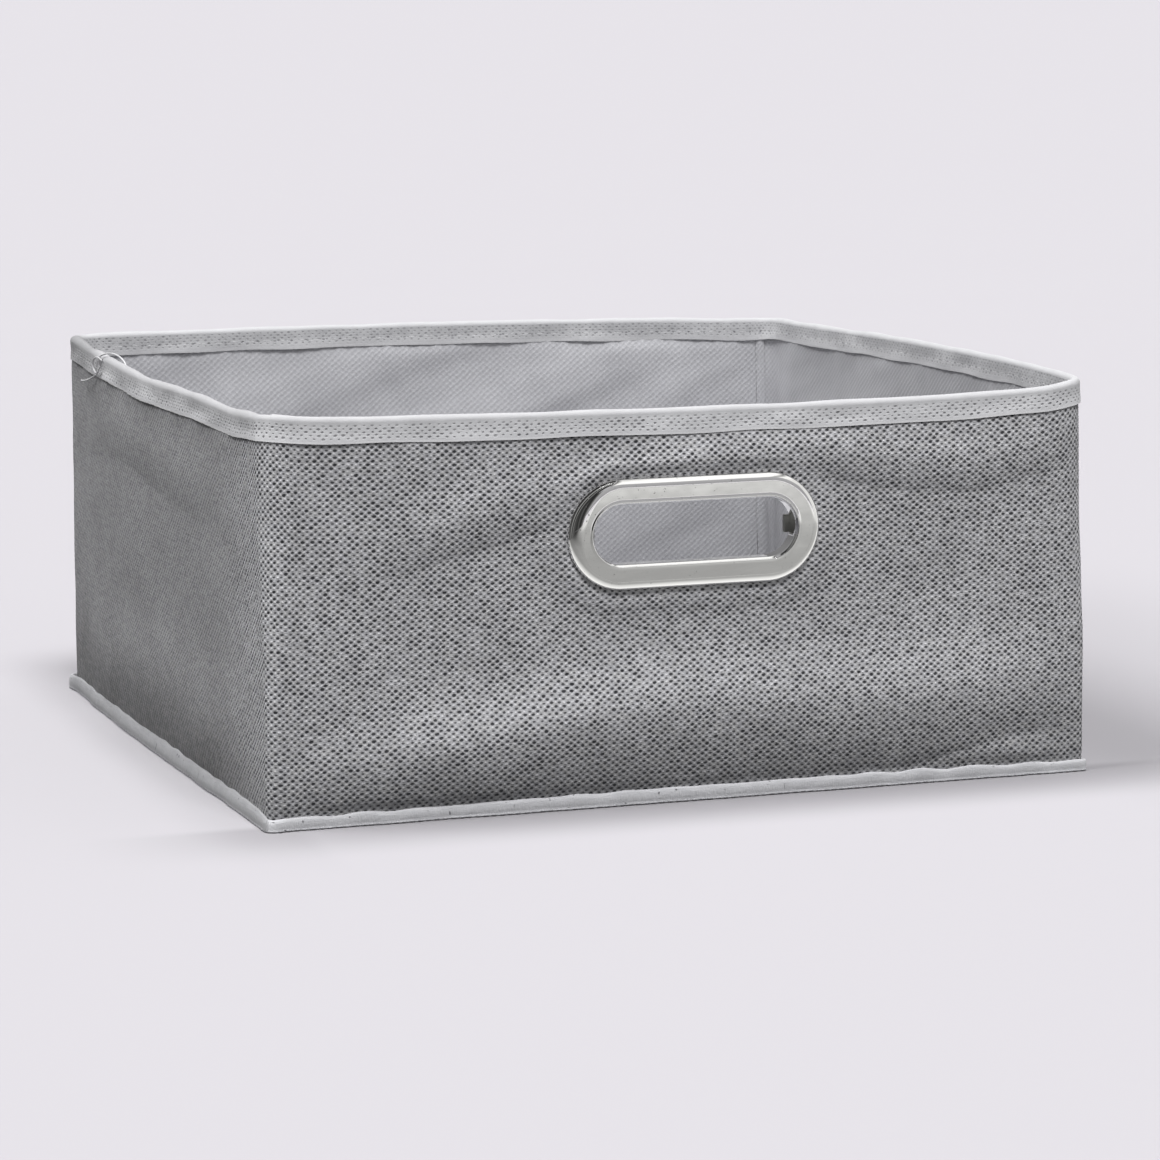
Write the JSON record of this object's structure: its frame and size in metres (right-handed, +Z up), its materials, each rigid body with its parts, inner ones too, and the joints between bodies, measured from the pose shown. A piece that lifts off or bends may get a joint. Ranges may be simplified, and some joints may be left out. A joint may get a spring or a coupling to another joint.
{
  "type": "fabric storage bin",
  "caption": "Square open-topped folding storage bin of board-stiffened grey fabric, with a bound rim, a loose base insert and a chrome ring round the grip hole in the front wall.",
  "frame": {"origin": "on the ground, under the middle of the whole bin with its handle ring", "axes": "+Z up, the front wall with the handle faces -Y, +X to the right of a person who faces the front wall"},
  "size_m": [0.3128, 0.3148, 0.143],
  "materials": {
    "outer_fabric": "mid grey woven-look polyester with small dark weave holes",
    "lining": "light grey embossed nonwoven",
    "rim_tape": "light grey binding tape, matte",
    "base_tape": "light grey smooth nonwoven tape, matte",
    "thread": "light grey polyester sewing thread",
    "floor_cloth": "grey nonwoven",
    "insert_cloth": "light grey embossed nonwoven",
    "stiffening_board": "greyboard",
    "insert_board": "greyboard",
    "chrome": "polished chrome plating"
  },
  "bodies": {
    "front": {"front_outer_fabric": "outer_fabric", "front_board": "stiffening_board", "front_lining": "lining", "front_rim_binding": "rim_tape", "front_rim_stitching": "thread", "floor_fabric": "floor_cloth", "front_base_binding": "base_tape", "back_base_binding": "base_tape", "left_base_binding": "base_tape", "right_base_binding": "base_tape", "base_binding_stitching": "thread", "handle_front_ring": "chrome", "handle_back_ring": "chrome"},
    "left_front": {"left_front_outer_fabric": "outer_fabric", "left_front_board": "stiffening_board", "left_front_lining": "lining", "left_front_rim_binding": "rim_tape", "left_front_rim_stitching": "thread"},
    "left_back": {"left_back_outer_fabric": "outer_fabric", "left_back_board": "stiffening_board", "left_back_lining": "lining", "left_back_rim_binding": "rim_tape", "left_back_rim_stitching": "thread"},
    "right_front": {"right_front_outer_fabric": "outer_fabric", "right_front_board": "stiffening_board", "right_front_lining": "lining", "right_front_rim_binding": "rim_tape", "right_front_rim_stitching": "thread"},
    "right_back": {"right_back_outer_fabric": "outer_fabric", "right_back_board": "stiffening_board", "right_back_lining": "lining", "right_back_rim_binding": "rim_tape", "right_back_rim_stitching": "thread"},
    "back": {"back_outer_fabric": "outer_fabric", "back_board": "stiffening_board", "back_lining": "lining", "back_rim_binding": "rim_tape", "back_rim_stitching": "thread", "corner_seam_strip": "lining"},
    "base_insert": {"insert_board": "insert_board", "insert_top_cover": "insert_cloth", "insert_bottom_cover": "insert_cloth"}
  },
  "joints": [
    {"name": "wall_fold", "type": "hinge", "parent": "front", "child": "left_front", "pos_m": [-0.1516, -0.1506, 0], "axis": [0, 0, -1], "range_deg": [0, 85]},
    {"name": "left_crease", "type": "hinge", "parent": "left_front", "child": "left_back", "pos_m": [-0.1558, 0.001, 0], "axis": [0, 0, 1], "range_deg": [0, 170]},
    {"name": "back_left_corner", "type": "hinge", "parent": "left_back", "child": "back", "pos_m": [-0.1516, 0.1526, 0], "axis": [0, 0, -1], "range_deg": [0, 85]},
    {"name": "front_right_corner", "type": "hinge", "parent": "front", "child": "right_front", "pos_m": [0.1516, -0.1506, 0], "axis": [0, 0, 1], "range_deg": [0, 85]},
    {"name": "right_crease", "type": "hinge", "parent": "right_front", "child": "right_back", "pos_m": [0.1558, 0.001, 0], "axis": [0, 0, -1], "range_deg": [0, 170]},
    {"name": "insert_lift", "type": "slide", "parent": "front", "child": "base_insert", "axis": [0, 0, 1], "range_m": [0, 0.17]}
  ],
  "couplings": [
    {"joint": "left_crease", "follows": "wall_fold", "ratio": 2},
    {"joint": "back_left_corner", "follows": "wall_fold", "ratio": 1},
    {"joint": "front_right_corner", "follows": "wall_fold", "ratio": 1},
    {"joint": "right_crease", "follows": "wall_fold", "ratio": 2}
  ]
}
